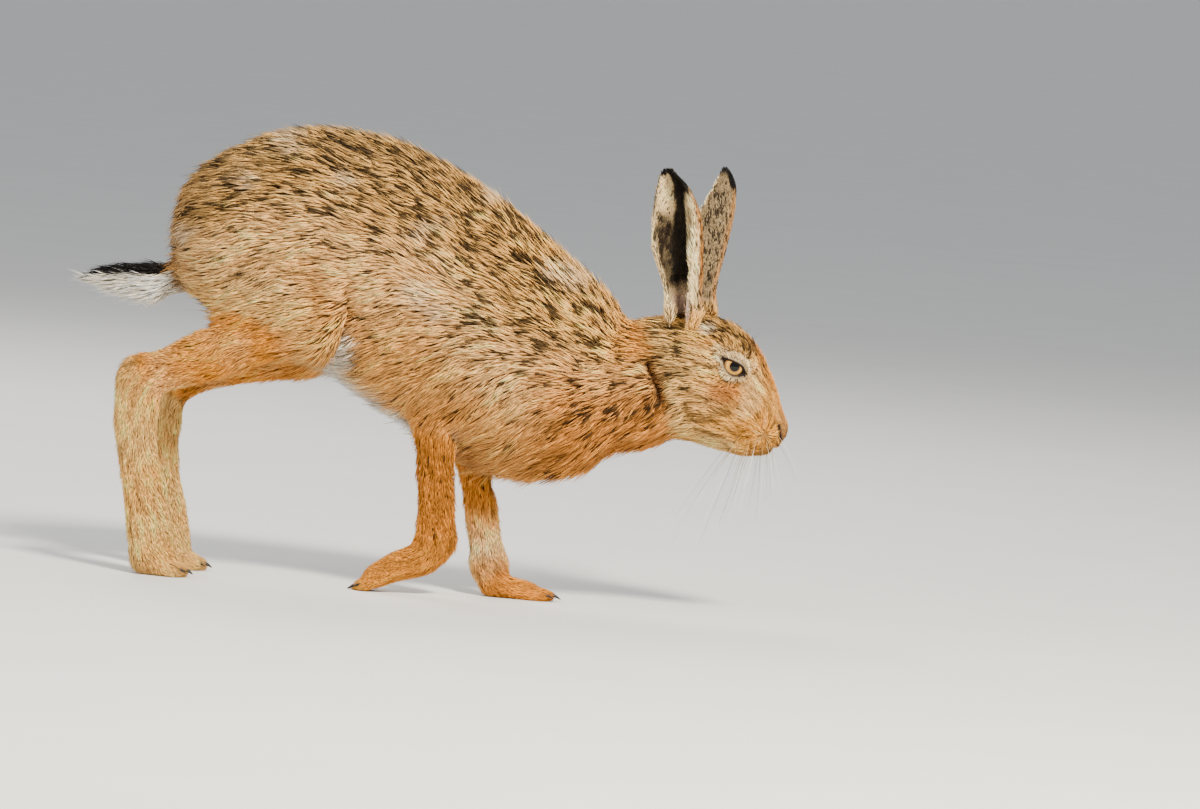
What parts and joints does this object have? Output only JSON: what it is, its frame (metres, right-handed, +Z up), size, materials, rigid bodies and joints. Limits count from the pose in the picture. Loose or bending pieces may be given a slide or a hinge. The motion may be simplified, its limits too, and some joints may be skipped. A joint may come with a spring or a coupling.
{
  "type": "brown hare model",
  "caption": "Life-size still model of a walking brown hare, head low and ears up, standing on its own feet.",
  "frame": {"origin": "middle of the whole animal's box, at the level of its soles", "axes": "+X forward to the nose, +Y to the hare's left, +Z up"},
  "size_m": [0.5116, 0.1114, 0.3271],
  "materials": {
    "coat_back": "short ticked fur, black and ochre bands over grey-brown, with a few pale moult patches",
    "coat_flank": "short fur, sandy buff turning tawny low on the flank and thigh, white in the groin",
    "coat_chest": "longer soft fur, rufous tawny with darker streaks",
    "coat_face": "very short grizzled fur, pale ring round the eye, pale grey cheek, buff muzzle",
    "coat_leg": "short dense orange-tawny fur, cream on the feet",
    "coat_tail": "fluffy white fur, black along the top",
    "ear": "thin skin with velvet fur, cream rims and a black tip",
    "eye": "wet amber iris round a black pupil",
    "claw": "dark horn"
  },
  "bodies": {
    "root": {"head": "coat_face", "ear_left": "ear", "ear_right": "ear", "eye_left": "eye", "eye_right": "eye", "neck": "coat_chest", "torso_chest": "coat_chest", "torso_loin": "coat_back", "torso_rump": "coat_back", "tail": "coat_tail", "shoulder_left": "coat_flank", "shoulder_right": "coat_flank", "forearm_left": "coat_leg", "forearm_right": "coat_leg", "forepaw_left": "coat_leg", "forepaw_right": "coat_leg", "thigh_left": "coat_flank", "thigh_right": "coat_flank", "shank_left": "coat_leg", "shank_right": "coat_leg", "hind_foot_left": "coat_leg", "hind_foot_right": "coat_leg", "hind_toes_left": "coat_leg", "hind_toes_right": "coat_leg"}
  },
  "joints": []
}
